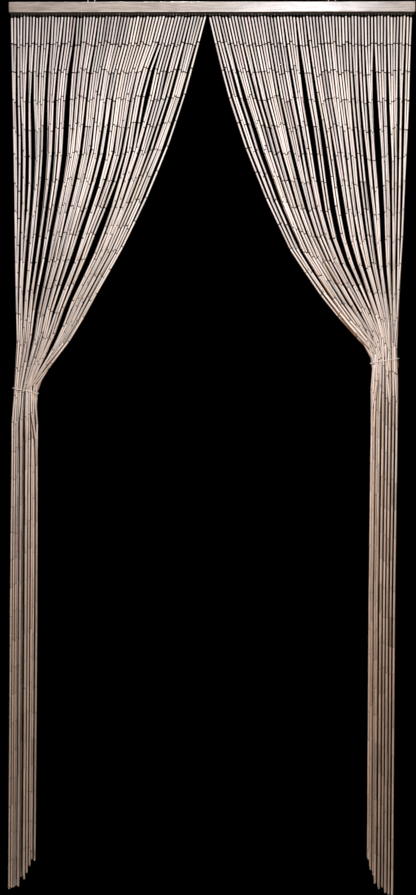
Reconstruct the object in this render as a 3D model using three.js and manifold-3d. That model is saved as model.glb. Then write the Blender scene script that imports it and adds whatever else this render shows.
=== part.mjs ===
// A bead curtain for a doorway: strands of thin bamboo tubes that hang under a wooden rail, parted in
// the middle and drawn to the two sides, where a thread ties each half into a narrow bundle.
// Millimetres, +Z up. X runs along the rail and -Y is the front. The origin is the middle of the
// rail's back face. Heights on the curtain are given as a drop below the rail's underside.

import * as THREE from "three";
import { mergeVertices } from "three/addons/utils/BufferGeometryUtils.js";
import Module from "manifold-3d";

const wasm = await Module();
wasm.setup();

// Sizes

const SEAT_GAP = 0.3;

const RAIL = { length: 900, depth: 22, height: 23, edgeRadius: 1.6, edgeSteps: 3 };

const HANGER = {
  spacing: 534,
  legSpacing: 15,
  wire: 2,
  rise: 11,
  legDepth: 8,
  boreClearance: 0.45,
  arcSteps: 8,
  steps: 24,
};

const SPINE = { depth: 4, height: 3 };

const TUBE = 4.8;
const LOCK_CHAMFER = 1.5;
const LOCK_MERGE = 1;
const CROWN = 0.32;
const JOIN = { above: 12, below: 20, inset: 2, proud: 0.4 };
const BUNDLE_CHAMFER = 7;
const TUFT = { overlap: 15, gap: 1.2, inset: 0.6, chamfer: 2 };

const TIE = {
  thread: 1.2,
  clearance: 1.1,
  cornerRadius: 8,
  cornerSteps: 4,
  slant: 11,
  knotRadius: 2,
  knotSpread: 0.7,
  endLength: 20,
  endSpread: 1.5,
  steps: 60,
};

// Each half is a row of locks of strands. A section gives the half's outline at one drop: its outer
// and inner edge along X, its front and back along Y, and how far open the gaps between locks are.
// A lock has a number of strands, and the widest gap to the next lock toward the middle of the door.
// A tuft is a stretch of the bundle, counted from its outer edge, with the drop where it ends.

const LEFT = {
  side: "left",
  sections: [
    { drop: 2, outer: -448, inner: -8.5, front: -13.5, back: -8.5, open: 0 },
    { drop: 104, outer: -446, inner: -35, front: -13.5, back: -8.5, open: 0.3 },
    { drop: 193, outer: -444.5, inner: -59, front: -13.5, back: -8.3, open: 0.6 },
    { drop: 304, outer: -441, inner: -96, front: -14, back: -8, open: 0.9 },
    { drop: 415, outer: -438, inner: -142, front: -14.5, back: -7.5, open: 1 },
    { drop: 525, outer: -436.5, inner: -195, front: -16, back: -7, open: 1 },
    { drop: 636, outer: -434, inner: -258, front: -18.5, back: -5.5, open: 1 },
    { drop: 703, outer: -431, inner: -294, front: -20.5, back: -4.5, open: 0.9 },
    { drop: 747, outer: -431, inner: -323, front: -22.5, back: -3.5, open: 0.5 },
    { drop: 785, outer: -433, inner: -353, front: -25, back: -2.5, open: 0.15 },
    { drop: 814, outer: -433.5, inner: -372, front: -27.5, back: -2.5, open: 0 },
    { drop: 840, outer: -433.5, inner: -381, front: -29, back: -3.5, open: 0 },
  ],
  bundle: [
    { drop: 902, outer: -438, inner: -380, front: -28.5, back: -1.5 },
    { drop: 1301, outer: -439.5, inner: -378.5, front: -28.5, back: -1.5 },
    { drop: 1862, outer: -439.5, inner: -379, front: -28, back: -2 },
  ],
  locks: [
    { strands: 3, gap: 2.4 },
    { strands: 5, gap: 2.4 },
    { strands: 13, gap: 4 },
    { strands: 17, gap: 4 },
    { strands: 9, gap: 3 },
    { strands: 3, gap: 6.5 },
    { strands: 3, gap: 3 },
    { strands: 4, gap: 4.5 },
    { strands: 3, gap: 6.5 },
    { strands: 2, gap: 0 },
  ],
  tufts: [
    { from: 0, to: 0.3, end: 1940 },
    { from: 0.3, to: 0.55, end: 1932 },
    { from: 0.55, to: 0.8, end: 1915 },
    { from: 0.8, to: 1, end: 1888 },
  ],
};

const RIGHT = {
  side: "right",
  sections: [
    { drop: 2, outer: 446, inner: -8, front: -13.5, back: -8.5, open: 0 },
    { drop: 104, outer: 442, inner: 17, front: -13.5, back: -8.5, open: 0.3 },
    { drop: 193, outer: 440, inner: 41.5, front: -13.5, back: -8.3, open: 0.6 },
    { drop: 304, outer: 436, inner: 80, front: -14, back: -8, open: 0.9 },
    { drop: 415, outer: 431.5, inner: 126, front: -14.5, back: -7.5, open: 1 },
    { drop: 525, outer: 427.5, inner: 179, front: -16, back: -7, open: 1 },
    { drop: 636, outer: 421.5, inner: 255, front: -19, back: -5, open: 1 },
    { drop: 690, outer: 419, inner: 300, front: -22, back: -3.5, open: 0.8 },
    { drop: 725, outer: 417, inner: 330, front: -25, back: -2.5, open: 0.3 },
    { drop: 747, outer: 415.5, inner: 347, front: -27.5, back: -2.5, open: 0 },
    { drop: 770, outer: 417, inner: 358, front: -29, back: -3.5, open: 0 },
  ],
  bundle: [
    { drop: 836, outer: 419, inner: 359.5, front: -28.5, back: -1.5 },
    { drop: 1301, outer: 415, inner: 357, front: -28.5, back: -1.5 },
    { drop: 1862, outer: 414.5, inner: 357, front: -28, back: -2 },
  ],
  locks: [
    { strands: 12, gap: 4 },
    { strands: 9, gap: 3 },
    { strands: 6, gap: 3 },
    { strands: 6, gap: 4 },
    { strands: 4, gap: 5 },
    { strands: 5, gap: 4 },
    { strands: 16, gap: 4.5 },
    { strands: 4, gap: 6 },
    { strands: 1, gap: 0 },
  ],
  tufts: [
    { from: 0, to: 0.28, end: 1946 },
    { from: 0.28, to: 0.55, end: 1951 },
    { from: 0.55, to: 0.8, end: 1925 },
    { from: 0.8, to: 1, end: 1895 },
  ],
};

const UNDERSIDE = -RAIL.height / 2;
const CURTAIN_TOP = UNDERSIDE - SEAT_GAP;
const MID_DEPTH = -RAIL.depth / 2;

// Materials

const WOOD = new THREE.MeshStandardMaterial({ color: 0xc3b3a6, roughness: 0.5, metalness: 0 });
const BAMBOO = new THREE.MeshStandardMaterial({ color: 0xb39c85, roughness: 0.55, metalness: 0 });
const STEEL = new THREE.MeshStandardMaterial({ color: 0xb4b2ae, roughness: 0.35, metalness: 1 });
const THREAD = new THREE.MeshStandardMaterial({ color: 0xe4dfd6, roughness: 0.7, metalness: 0 });

// Solids

function asSolid(geometry) {
  const bare = geometry.index ? geometry.toNonIndexed() : geometry.clone();
  bare.deleteAttribute("normal");
  bare.deleteAttribute("uv");
  const merged = mergeVertices(bare, 1e-4);
  return new wasm.Manifold(
    new wasm.Mesh({
      numProp: 3,
      vertProperties: merged.attributes.position.array,
      triVerts: new Uint32Array(merged.index.array),
    }),
  );
}

function asGeometry(solid) {
  const mesh = solid.getMesh();
  const geometry = new THREE.BufferGeometry();
  geometry.setAttribute("position", new THREE.BufferAttribute(mesh.vertProperties, 3));
  geometry.setIndex(new THREE.BufferAttribute(mesh.triVerts, 1));
  return geometry;
}

function joined(geometries) {
  return geometries.map(asSolid).reduce((all, next) => all.add(next));
}

// A closed bar through stations from top to bottom. Each station is a rectangle in X and Y with
// chamfered corners at one drop. A cylinder of eight sides is the blank, and each of its rings is
// moved out to a station.
function bar(stations, chamferSize) {
  const rings = stations.length - 1;
  const sides = 8;
  const blank = new THREE.CylinderGeometry(1, 1, rings, sides, rings, false, Math.PI / sides);
  const points = blank.attributes.position;
  for (let i = 0; i < points.count; i++) {
    const { drop, outer, inner, front, back } = stations[Math.round(rings / 2 - points.getY(i))];
    const halfWidth = Math.abs(outer - inner) / 2;
    const halfDepth = (back - front) / 2;
    const chamfer = Math.min(chamferSize, 0.6 * halfWidth, 0.6 * halfDepth);
    const reach = (share, half) => {
      if (Math.abs(share) < 0.1) return 0;
      return Math.sign(share) * (Math.abs(share) > 0.7 ? half : half - chamfer);
    };
    const x = (outer + inner) / 2 + reach(points.getX(i), halfWidth);
    const y = (front + back) / 2 - reach(points.getZ(i), halfDepth);
    points.setXYZ(i, x, y, UNDERSIDE - drop);
  }
  return blank;
}

// A station made smaller by the same inset on each side, or larger where the inset is negative.
function inset(station, amount) {
  const inward = Math.sign(station.inner - station.outer) * amount;
  return {
    ...station,
    outer: station.outer + inward,
    inner: station.inner - inward,
    front: station.front + amount,
    back: station.back - amount,
  };
}

// The outer and inner edge of every lock at one section. Strands share what the gaps leave, and
// where they lie closer than their own width, in more than one layer, neighbouring locks merge. The
// locks at the two ends are less deep, by the crown, so that the layered strands have round corners.
function lockEdges(section, locks) {
  const toMiddle = Math.sign(section.inner - section.outer);
  const centre = (section.outer + section.inner) / 2;
  const halfWidth = Math.abs(section.inner - section.outer) / 2;
  const layered = section.back - section.front - TUBE;
  const strands = locks.reduce((sum, lock) => sum + lock.strands, 0);
  const spare = locks.reduce((sum, lock) => sum + lock.gap, 0) * section.open;
  const pitch = (Math.abs(section.inner - section.outer) - spare) / strands;
  const own = pitch > TUBE ? pitch - TUBE : -LOCK_MERGE * (1 - section.open);
  let at = section.outer;
  return locks.map((lock) => {
    const outer = at + (toMiddle * own) / 2;
    at += toMiddle * lock.strands * pitch;
    const inner = at - (toMiddle * own) / 2;
    at += toMiddle * lock.gap * section.open;
    const fromCentre = Math.max(Math.abs(outer - centre), Math.abs(inner - centre)) / halfWidth;
    const crown = CROWN * layered * fromCentre ** 4;
    const front = section.front + crown;
    const back = section.back - crown;
    return { ...section, outer, inner, front, back };
  });
}

function lockBars({ sections, locks }) {
  const rows = sections.map((section) => lockEdges(section, locks));
  return locks.map((_, i) => {
    const stations = rows.map((row) => row[i]);
    const last = stations.at(-1);
    const tucked = inset(last, Math.min(JOIN.inset, 0.2 * Math.abs(last.inner - last.outer)));
    tucked.front = last.front + JOIN.inset;
    tucked.back = last.back - JOIN.inset;
    tucked.drop = last.drop + JOIN.below;
    return bar([...stations, tucked], LOCK_CHAMFER);
  });
}

function bundleBar({ sections, bundle }) {
  const waist = sections.at(-1);
  const start = { ...inset(waist, JOIN.inset), drop: waist.drop - JOIN.above };
  return bar([start, inset(waist, -JOIN.proud), ...bundle], BUNDLE_CHAMFER);
}

function tuftBars({ bundle, tufts }) {
  const foot = inset(bundle.at(-1), TUFT.inset);
  const width = foot.inner - foot.outer;
  const between = (Math.sign(width) * TUFT.gap) / 2;
  return tufts.map(({ from, to, end }) => {
    const outer = foot.outer + width * from + between;
    const inner = foot.outer + width * to - between;
    const root = { ...foot, outer, inner, drop: foot.drop - TUFT.overlap };
    return bar([root, { ...root, drop: end }], TUFT.chamfer);
  });
}

function spineBlock({ sections }) {
  const { outer, inner } = sections[0];
  const block = new THREE.BoxGeometry(Math.abs(outer - inner), SPINE.depth, SPINE.height);
  return block.translate((outer + inner) / 2, MID_DEPTH, CURTAIN_TOP - SPINE.height / 2);
}

function curtain(half) {
  const pieces = [spineBlock(half), ...lockBars(half), bundleBar(half), ...tuftBars(half)];
  return asGeometry(joined(pieces));
}

// A round bar of eight sides along a smooth curve through points.
function roundBar(points, diameter, steps) {
  const section = new THREE.Shape();
  section.absarc(0, 0, diameter / 2, 0, 2 * Math.PI);
  const extrudePath = new THREE.CatmullRomCurve3(points, false, "centripetal");
  return new THREE.ExtrudeGeometry(section, { extrudePath, steps, curveSegments: 4 });
}

// Points on an arc about a centre, where place turns its two coordinates into a point.
function arcPoints(centre, radius, start, sweep, steps, place) {
  return Array.from({ length: steps + 1 }, (_, i) => {
    const angle = start + (sweep * i) / steps;
    return place(centre.u + radius * Math.cos(angle), centre.v + radius * Math.sin(angle));
  });
}

function rail() {
  const { length, depth, height, edgeRadius, edgeSteps } = RAIL;
  const u = depth / 2 - edgeRadius;
  const v = height / 2 - edgeRadius;
  const outline = new THREE.Shape();
  outline.absarc(u, v, edgeRadius, 0, Math.PI / 2);
  outline.absarc(-u, v, edgeRadius, Math.PI / 2, Math.PI);
  outline.absarc(-u, -v, edgeRadius, Math.PI, 1.5 * Math.PI);
  outline.absarc(u, -v, edgeRadius, 1.5 * Math.PI, 2 * Math.PI);
  const options = { depth: length, bevelEnabled: false, curveSegments: edgeSteps };
  const body = new THREE.ExtrudeGeometry(outline, options);
  body.translate(0, 0, -length / 2);
  body.rotateX(Math.PI / 2);
  body.rotateZ(Math.PI / 2);
  body.translate(0, MID_DEPTH, 0);
  const radius = HANGER.wire / 2 + HANGER.boreClearance;
  const deep = HANGER.legDepth + SEAT_GAP;
  return [-1, 1].reduce((wood, side) => {
    return [-1, 1].reduce((rest, leg) => {
      const bore = new THREE.CylinderGeometry(radius, radius, 2 * deep, 12);
      bore.rotateX(Math.PI / 2);
      const x = (side * HANGER.spacing) / 2 + (leg * HANGER.legSpacing) / 2;
      bore.translate(x, MID_DEPTH, RAIL.height / 2);
      return rest.subtract(asSolid(bore));
    }, wood);
  }, asSolid(body));
}

// A wire loop whose two legs stand in the rail's top.
function hanger(side) {
  const { spacing, legSpacing, wire, rise, legDepth, arcSteps } = HANGER;
  const x = (side * spacing) / 2;
  const top = RAIL.height / 2;
  const place = (u, z) => new THREE.Vector3(x + u, MID_DEPTH, z);
  const half = legSpacing / 2;
  const arch = arcPoints({ u: 0, v: top + rise }, half, 0, Math.PI, arcSteps, place);
  const leg = [top - legDepth, top, top + rise / 2];
  const points = [
    ...leg.map((z) => place(half, z)),
    ...arch,
    ...leg.reverse().map((z) => place(-half, z)),
  ];
  return roundBar(points, wire, HANGER.steps);
}

// A thread round the waist of a half, slanting up toward the outer side. Its knot is at the outer
// back corner, with two short free ends that hang behind the bundle.
function tie({ sections }) {
  const waist = sections.at(-1);
  const outward = Math.sign(waist.outer - waist.inner);
  const centre = new THREE.Vector2((waist.outer + waist.inner) / 2, (waist.front + waist.back) / 2);
  const around = TIE.clearance + TIE.thread / 2;
  const halfWidth = Math.abs(waist.outer - waist.inner) / 2 + around;
  const halfDepth = (waist.back - waist.front) / 2 + around;
  const height = UNDERSIDE - waist.drop;
  const place = (u, v) => {
    const z = height + (TIE.slant * u) / (2 * halfWidth);
    return new THREE.Vector3(centre.x + outward * u, centre.y + v, z);
  };
  const u = halfWidth - TIE.cornerRadius;
  const v = halfDepth - TIE.cornerRadius;
  const quarter = Math.PI / 2;
  const arcs = [
    { corner: { u, v }, start: quarter / 2, sweep: quarter / 2 },
    { corner: { u: -u, v }, start: quarter, sweep: quarter },
    { corner: { u: -u, v: -v }, start: 2 * quarter, sweep: quarter },
    { corner: { u, v: -v }, start: 3 * quarter, sweep: quarter },
    { corner: { u, v }, start: 0, sweep: quarter / 2 },
  ];
  const ring = arcs.flatMap(({ corner, start, sweep }) => {
    return arcPoints(corner, TIE.cornerRadius, start, sweep, TIE.cornerSteps, place);
  });
  const reach = (TIE.cornerRadius + TIE.knotRadius - TIE.thread / 2) * Math.SQRT1_2;
  const knot = place(u + reach, v + reach);
  const near = (aside, dz) => knot.clone().add(new THREE.Vector3(outward * aside, -aside, dz));
  const freeEnd = (way) => [
    near(way * TIE.endSpread, -TIE.endLength),
    near(way * TIE.endSpread, -0.6 * TIE.endLength),
    near(0.8 * way * TIE.endSpread, -0.25 * TIE.endLength),
    near(way * TIE.knotSpread, -TIE.knotSpread),
  ];
  const points = [...freeEnd(-1), ...ring, ...freeEnd(1).reverse()];
  const knotBall = new THREE.SphereGeometry(TIE.knotRadius, 10, 8);
  knotBall.translate(knot.x, knot.y, knot.z);
  return asGeometry(joined([roundBar(points, TIE.thread, TIE.steps), knotBall]));
}

// The scene graph

const group = new THREE.Group();

function addMesh(name, geometry, material) {
  const mesh = new THREE.Mesh(geometry, material);
  mesh.name = name;
  group.add(mesh);
}

addMesh("rail", asGeometry(rail()), WOOD);
addMesh("hanger_left", hanger(-1), STEEL);
addMesh("hanger_right", hanger(1), STEEL);
for (const half of [LEFT, RIGHT]) {
  addMesh(`curtain_${half.side}`, curtain(half), BAMBOO);
  addMesh(`tie_${half.side}`, tie(half), THREAD);
}

export default group;
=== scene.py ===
"""The finished look of a bead curtain: strands of bamboo tubes on wire links under a wooden rail.

Every strand is a chain of stiff tubes on free joints. The chains start on routes worked out from the
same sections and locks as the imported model. They are then settled by pushing apart those that touch, so
that they hang side by side and in layers, with only a few tubes left that pass into each other. Lengths
are millimetres until a mesh is made.
"""

import logging
import math
from dataclasses import dataclass, field, fields
from enum import Enum
from typing import Callable, Sequence

import bmesh
import bpy
import numpy as np
from mathutils import Euler, Matrix, Vector


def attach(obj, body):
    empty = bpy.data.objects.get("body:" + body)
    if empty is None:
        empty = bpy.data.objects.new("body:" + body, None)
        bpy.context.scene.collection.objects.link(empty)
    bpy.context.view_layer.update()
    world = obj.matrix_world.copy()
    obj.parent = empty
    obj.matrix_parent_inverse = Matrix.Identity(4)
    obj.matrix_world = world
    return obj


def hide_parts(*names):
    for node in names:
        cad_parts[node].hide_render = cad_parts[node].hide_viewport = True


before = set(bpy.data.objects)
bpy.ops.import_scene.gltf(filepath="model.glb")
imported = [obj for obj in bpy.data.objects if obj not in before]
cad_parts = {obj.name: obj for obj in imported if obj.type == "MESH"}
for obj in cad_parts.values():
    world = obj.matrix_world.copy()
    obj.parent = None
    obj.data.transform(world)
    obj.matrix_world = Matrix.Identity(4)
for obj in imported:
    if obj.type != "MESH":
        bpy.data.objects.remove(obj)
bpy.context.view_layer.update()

BODY = "root"
MM = 0.001
SEED = 41
PHOTO_WIDTH = 416
PHOTO_HEIGHT = 895

# Multiples of the golden ratio's fraction, modulo one, spread evenly.
GOLDEN_STEP = 0.6180339887
# Keeps a division from being by zero.
TINY = 1e-9
# Points nearer each other than this, in millimetres, are one.
SAME_POINT = 1e-4
# A direction that no bar starts along, from which its first side is measured.
OFF_AXIS = (0.31, 0.17, 0.94)

log = logging.getLogger("bead curtain")


class Slot(Enum):
    """The record's material slots."""

    RAIL_WOOD = "rail_wood"
    BAMBOO = "bamboo"
    WIRE = "wire"
    THREAD = "thread"


class Side(Enum):
    """The two halves of the curtain, with the direction of each along X."""

    LEFT = -1
    RIGHT = 1

    @property
    def label(self) -> str:
        """The half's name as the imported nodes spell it."""
        return self.name.lower()


# Shader recipes


class Signal:
    """A shader value on which Python's operators add Math nodes."""

    def __init__(self, recipe: "Recipe", socket: bpy.types.NodeSocket) -> None:
        """Wraps one output socket.

        Args:
            recipe: the node tree that the socket is in.
            socket: the output that carries the value.
        """
        self.recipe = recipe
        self.socket = socket

    def _math(self, operation: str, *terms: "Signal | float") -> "Signal":
        """One Math node on these terms.

        Args:
            operation: the node's operation.
            terms: its inputs in order.

        Returns:
            The node's value.
        """
        return self.recipe.signal("ShaderNodeMath", {"operation": operation}, dict(enumerate(terms)))

    def __add__(self, other: "Signal | float") -> "Signal":
        """Sum."""
        return self._math("ADD", self, other)

    def __radd__(self, other: float) -> "Signal":
        """Sum with a number on the left."""
        return self._math("ADD", other, self)

    def __sub__(self, other: "Signal | float") -> "Signal":
        """Difference."""
        return self._math("SUBTRACT", self, other)

    def __rsub__(self, other: float) -> "Signal":
        """Difference with a number on the left."""
        return self._math("SUBTRACT", other, self)

    def __mul__(self, other: "Signal | float") -> "Signal":
        """Product."""
        return self._math("MULTIPLY", self, other)

    def __rmul__(self, other: float) -> "Signal":
        """Product with a number on the left."""
        return self._math("MULTIPLY", other, self)

    def __truediv__(self, other: "Signal | float") -> "Signal":
        """Quotient."""
        return self._math("DIVIDE", self, other)

    def sine(self) -> "Signal":
        """Sine of the value in radians."""
        return self._math("SINE", self)

    def band(self, low: float, high: float) -> "Signal":
        """A smooth step.

        Args:
            low: the value where the step starts, at 0.
            high: the value where it ends, at 1. It may be below low, for a falling step.

        Returns:
            The step, from 0 to 1.
        """
        settings = {"interpolation_type": "SMOOTHSTEP"}
        sockets = {"Value": self, "From Min": low, "From Max": high, "To Min": 0.0, "To Max": 1.0}
        return self.recipe.signal("ShaderNodeMapRange", settings, sockets)


Colour = tuple[float, float, float]
Scale = tuple[float, float, float]


class Recipe:
    """The node tree of one material or world while it is filled."""

    def __init__(self, tree: bpy.types.NodeTree) -> None:
        """Starts with an empty tree.

        Args:
            tree: the tree to fill.
        """
        self.tree = tree
        tree.nodes.clear()

    def node(self, kind: str, settings: dict | None = None, sockets: dict | None = None) -> bpy.types.Node:
        """Adds a node.

        Args:
            kind: the node's type.
            settings: its properties.
            sockets: values, signals or sockets by input name or number.

        Returns:
            The node.
        """
        made = self.tree.nodes.new(kind)
        for key, value in (settings or {}).items():
            setattr(made, key, value)
        for key, value in (sockets or {}).items():
            target = made.inputs[key]
            if isinstance(value, Signal):
                value = value.socket
            if isinstance(value, bpy.types.NodeSocket):
                self.tree.links.new(value, target)
            elif target.type == "RGBA":
                target.default_value = (*value[:3], 1.0)
            else:
                target.default_value = value
        return made

    def signal(self, kind: str, settings: dict | None, sockets: dict, output: int | str = 0) -> Signal:
        """Adds a node and wraps one of its outputs.

        Args:
            kind: the node's type.
            settings: its properties.
            sockets: its inputs.
            output: the output's name or number.

        Returns:
            The output as a signal.
        """
        return Signal(self, self.node(kind, settings, sockets).outputs[output])

    def noise(self, place: Signal, scale: float, detail: float, roughness: float) -> Signal:
        """Smooth noise from 0 to 1.

        Args:
            place: the coordinates.
            scale: how many features fit in one unit.
            detail: the number of finer layers.
            roughness: how strong the finer layers are.

        Returns:
            The noise value.
        """
        sockets = {"Vector": place, "Scale": scale, "Detail": detail, "Roughness": roughness}
        return self.signal("ShaderNodeTexNoise", {"noise_dimensions": "3D"}, sockets, "Fac")

    def stretched(self, place: Signal, scale: Scale) -> Signal:
        """Coordinates scaled along each axis.

        Args:
            place: the coordinates.
            scale: the factor along each axis.

        Returns:
            The scaled coordinates.
        """
        return self.signal("ShaderNodeVectorMath", {"operation": "MULTIPLY"}, {0: place, 1: scale})

    def mix(self, share: Signal | float, low: Signal | Colour, high: Signal | Colour) -> Signal:
        """A blend of two colours.

        Args:
            share: how much of the second, from 0 to 1.
            low: the first colour.
            high: the second colour.

        Returns:
            The blend.
        """
        settings = {"data_type": "RGBA", "clamp_factor": True}
        return self.signal("ShaderNodeMix", settings, {0: share, 6: low, 7: high}, 2)

    def shade(self, colour: Signal, amount: Signal) -> Signal:
        """A colour made lighter or darker.

        Args:
            colour: the colour.
            amount: the factor, 1 for no change.

        Returns:
            The shaded colour.
        """
        sockets = {0: colour, "Scale": amount}
        return self.signal("ShaderNodeVectorMath", {"operation": "SCALE"}, sockets)

    def bump(self, height: Signal, depth: float) -> Signal:
        """A bumped normal.

        Args:
            height: the height, from 0 to 1.
            depth: what a height of 1 stands for, in metres.

        Returns:
            The normal.
        """
        return self.signal("ShaderNodeBump", None, {"Strength": 1.0, "Distance": depth, "Height": height})

    def surface(self, **sockets: "Signal | float | Colour") -> None:
        """Ends the recipe in a Principled shader.

        Args:
            sockets: inputs by name, with an underscore for each space.
        """
        named = {key.replace("_", " "): value for key, value in sockets.items()}
        shader = self.node("ShaderNodeBsdfPrincipled", None, named)
        self.node("ShaderNodeOutputMaterial", None, {"Surface": shader.outputs[0]})


def fresh_material(name: str) -> tuple[bpy.types.Material, Recipe]:
    """A new node material and its recipe.

    Args:
        name: the material's name.

    Returns:
        The material and the empty recipe.
    """
    material = bpy.data.materials.new(name)
    material.use_nodes = True
    return material, Recipe(material.node_tree)


# Finishes


@dataclass(frozen=True)
class BambooFinish:
    """Natural bamboo tubes: pale fibres, each tube in a tone of its own, and painted shade inside its bore.

    The scales are features per millimetre, twice across a tube and once along it. darkest is the shade
    of the darkest tube, and lighter is what the lightest one has more.
    """

    pale: Colour = (0.45, 0.388, 0.335)
    straw: Colour = (0.37, 0.305, 0.225)
    rosy: Colour = (0.38, 0.285, 0.25)
    grey: Colour = (0.29, 0.272, 0.25)
    stain: Colour = (0.14, 0.088, 0.052)
    # Painted shade for the faces inside the bore.
    bore: Colour = (0.04, 0.026, 0.018)
    fibre_scale: Scale = (1.6, 1.6, 0.05)
    patch_scale: Scale = (0.25, 0.25, 0.045)
    speck_scale: Scale = (1.1, 1.1, 0.5)
    darkest: float = 0.58
    lighter: float = 0.74
    roughness: float = 0.41
    gloss: float = 1.0
    bump_depth: float = 0.00006

    def material(self) -> bpy.types.Material:
        """Makes the material, which reads the bead_place and bead_tone attributes."""
        made, r = fresh_material("bamboo")
        place = r.signal("ShaderNodeAttribute", {"attribute_name": "bead_place"}, {}, "Vector")
        tone = r.node("ShaderNodeAttribute", {"attribute_name": "bead_tone"})
        parts = r.node("ShaderNodeSeparateColor", None, {0: tone.outputs["Color"]})
        light, hue, dirt = (Signal(r, parts.outputs[i]) for i in range(3))
        inside = Signal(r, tone.outputs["Alpha"])
        fibres = r.noise(r.stretched(place, self.fibre_scale), 1.0, 3.0, 0.6)
        patches = r.noise(r.stretched(place, self.patch_scale), 1.0, 2.0, 0.55)
        specks = r.noise(r.stretched(place, self.speck_scale), 1.0, 1.0, 0.5).band(0.68, 0.8)
        colour = r.mix(hue.band(0.55, 0.95), self.pale, self.straw)
        colour = r.mix(hue.band(0.4, 0.05), colour, self.rosy)
        colour = r.mix(dirt.band(0.5, 1.0) * 0.8, colour, self.grey)
        colour = r.mix(patches.band(0.52, 0.8) * (0.15 + 0.5 * dirt), colour, self.stain)
        colour = r.mix(specks * 0.35 * dirt, colour, self.stain)
        colour = r.shade(colour, (self.darkest + self.lighter * light) * (0.84 + 0.32 * fibres))
        # Painted shade: the faces inside the bore are coloured nearly black.
        colour = r.mix(inside, colour, self.bore)
        roughness = self.roughness + 0.22 * (fibres - 0.5) + 0.12 * patches
        height = fibres * 0.75 + patches * 0.25
        normal = r.bump(height, self.bump_depth)
        r.surface(Base_Color=colour, Roughness=roughness, Normal=normal, Specular_IOR_Level=self.gloss)
        return made


@dataclass(frozen=True)
class WoodFinish:
    """Pale softwood under a thin varnish, with grain along X, worn edges and painted shade on its
    underside.

    The scales are features per millimetre along X, Y and Z. rings is how many waves of the figure the
    broad noise spans.
    """

    pale: Colour = (0.29, 0.237, 0.195)
    brown: Colour = (0.155, 0.113, 0.084)
    dark: Colour = (0.06, 0.041, 0.03)
    worn: Colour = (0.42, 0.37, 0.32)
    broad_scale: Scale = (0.006, 0.09, 0.11)
    line_scale: Scale = (0.018, 0.9, 1.1)
    pore_scale: Scale = (0.08, 2.2, 2.6)
    blotch_scale: Scale = (0.02, 0.06, 0.06)
    rub_scale: Scale = (0.05, 0.4, 0.4)
    scratch_scale: Scale = (0.6, 2.5, 0.35)
    rings: float = 34.0
    # How strongly painted shade darkens the underside.
    underside_painted_shade: float = 0.86
    roughness: float = 0.36
    coat: float = 0.5
    coat_roughness: float = 0.26
    bump_depth: float = 0.0002

    def material(self) -> bpy.types.Material:
        """Makes the material on Object coordinates."""
        made, r = fresh_material("rail wood")
        metres = r.signal("ShaderNodeTexCoord", None, {}, "Object")
        place = r.stretched(metres, (1 / MM, 1 / MM, 1 / MM))
        broad = r.noise(r.stretched(place, self.broad_scale), 1.0, 3.0, 0.55)
        lines = r.noise(r.stretched(place, self.line_scale), 1.0, 3.0, 0.6)
        pores = r.noise(r.stretched(place, self.pore_scale), 1.0, 2.0, 0.6).band(0.6, 0.74)
        figure = (broad * self.rings + lines * 2.0).sine() * 0.5 + 0.5
        blotch = r.noise(r.stretched(place, self.blotch_scale), 1.0, 2.0, 0.5)
        colour = r.mix(figure * 0.55 + lines * 0.35, self.pale, self.brown)
        colour = r.mix(pores * 0.6, colour, self.dark)
        colour = r.shade(colour, 0.72 + 0.56 * blotch)
        split = r.node("ShaderNodeSeparateXYZ", None, {0: place})
        z = Signal(r, split.outputs[2])
        low, high = RAIL.underside, RAIL.underside + RAIL.height
        rub = r.noise(r.stretched(place, self.rub_scale), 1.0, 2.0, 0.6).band(0.42, 0.6)
        rim = z.band(high - 2.2, high - 0.4) + z.band(low + 2.4, low + 0.5)
        colour = r.mix(rim * rub * 0.7, colour, self.worn)
        # Painted shade: the underside and its lower edge are darkened as if unlit.
        colour = r.shade(colour, 1.0 - self.underside_painted_shade * z.band(low + 0.55, low + 0.3))
        scratches = r.noise(r.stretched(place, self.scratch_scale), 1.0, 1.0, 0.5).band(0.7, 0.78)
        roughness = self.roughness + 0.16 * (lines - 0.5) + 0.2 * scratches + 0.15 * rim * rub
        normal = r.bump(0.6 * lines + 0.25 * figure - 0.4 * pores, self.bump_depth)
        r.surface(
            Base_Color=colour,
            Roughness=roughness,
            Normal=normal,
            Coat_Weight=self.coat,
            Coat_Roughness=self.coat_roughness,
        )
        return made


@dataclass(frozen=True)
class WireFinish:
    """Thin drawn wire, bright with a little tarnish. The scales are features per metre."""

    name: str
    bright: Colour = (0.80, 0.78, 0.74)
    tarnish: Colour = (0.38, 0.35, 0.31)
    spot_scale: float = 700.0
    fine_scale: float = 5200.0
    roughness: float = 0.32
    bump_depth: float = 0.00001

    def material(self) -> bpy.types.Material:
        """Makes the material on Object coordinates."""
        made, r = fresh_material(self.name)
        metres = r.signal("ShaderNodeTexCoord", None, {}, "Object")
        spots = r.noise(metres, self.spot_scale, 2.0, 0.6).band(0.4, 0.7)
        fine = r.noise(metres, self.fine_scale, 1.0, 0.5)
        colour = r.mix(spots, self.bright, self.tarnish)
        roughness = self.roughness + 0.25 * spots + 0.1 * (fine - 0.5)
        normal = r.bump(fine, self.bump_depth)
        r.surface(Base_Color=colour, Metallic=1.0, Roughness=roughness, Normal=normal)
        return made


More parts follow.
